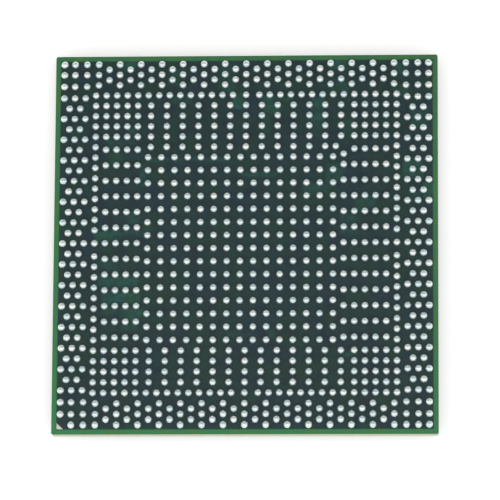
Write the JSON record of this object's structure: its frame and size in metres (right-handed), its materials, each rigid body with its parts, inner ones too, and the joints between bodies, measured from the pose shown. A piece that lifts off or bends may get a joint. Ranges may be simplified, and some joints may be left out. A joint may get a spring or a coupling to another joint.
{
  "type": "bga chip",
  "caption": "Flip-chip ball grid array package: green laminate substrate with mixed-pitch solder balls on one face and a bare die on the other.",
  "frame": {"origin": "on the back face of the die, under the middle of the package", "axes": "+Z from the die towards the balls; the pin-one corner, which has no ball, is at -X and -Y"},
  "size_m": [0.029, 0.029, 0.0024],
  "materials": {
    "solder_ball": "satin",
    "solder_mask": "gloss",
    "copper": "satin",
    "laminate": "matte",
    "tinned_mark": "satin",
    "gilt_mark": "satin",
    "silicon": "polished",
    "underfill": "gloss",
    "capacitor_ceramic": "satin",
    "tin_plating": "satin",
    "solder_joint": "satin"
  },
  "bodies": {
    "root": {"ball_side_copper": "copper", "ball_side_mark": "tinned_mark", "ball_side_mask": "solder_mask", "balls_bars_east": "solder_ball", "balls_bars_north": "solder_ball", "balls_bars_south": "solder_ball", "balls_bars_west": "solder_ball", "balls_core": "solder_ball", "balls_core_border_east": "solder_ball", "balls_core_border_north": "solder_ball", "balls_corner_north_east": "solder_ball", "balls_corner_north_west": "solder_ball", "balls_corner_south_east": "solder_ball", "balls_corner_south_west": "solder_ball", "balls_edge_east": "solder_ball", "balls_edge_north": "solder_ball", "balls_edge_south": "solder_ball", "balls_edge_west": "solder_ball", "balls_inner_north_east": "solder_ball", "balls_inner_north_west": "solder_ball", "balls_inner_south_east": "solder_ball", "balls_inner_south_west": "solder_ball", "balls_ring_east": "solder_ball", "balls_ring_north": "solder_ball", "balls_ring_south": "solder_ball", "balls_ring_west": "solder_ball", "capacitor_east_1": "capacitor_ceramic", "capacitor_east_2": "capacitor_ceramic", "capacitor_east_3": "capacitor_ceramic", "capacitor_east_4": "capacitor_ceramic", "capacitor_north_1": "capacitor_ceramic", "capacitor_north_2": "capacitor_ceramic", "capacitor_north_3": "capacitor_ceramic", "capacitor_north_4": "capacitor_ceramic", "capacitor_south_1": "capacitor_ceramic", "capacitor_south_2": "capacitor_ceramic", "capacitor_south_3": "capacitor_ceramic", "capacitor_south_4": "capacitor_ceramic", "capacitor_west_1": "capacitor_ceramic", "capacitor_west_2": "capacitor_ceramic", "capacitor_west_3": "capacitor_ceramic", "capacitor_west_4": "capacitor_ceramic", "die": "silicon", "die_side_copper": "copper", "die_side_mark": "gilt_mark", "die_side_mask": "solder_mask", "joints_east": "solder_joint", "joints_north": "solder_joint", "joints_south": "solder_joint", "joints_west": "solder_joint", "laminate": "laminate", "terminals_east": "tin_plating", "terminals_north": "tin_plating", "terminals_south": "tin_plating", "terminals_west": "tin_plating", "underfill": "underfill"}
  },
  "joints": []
}
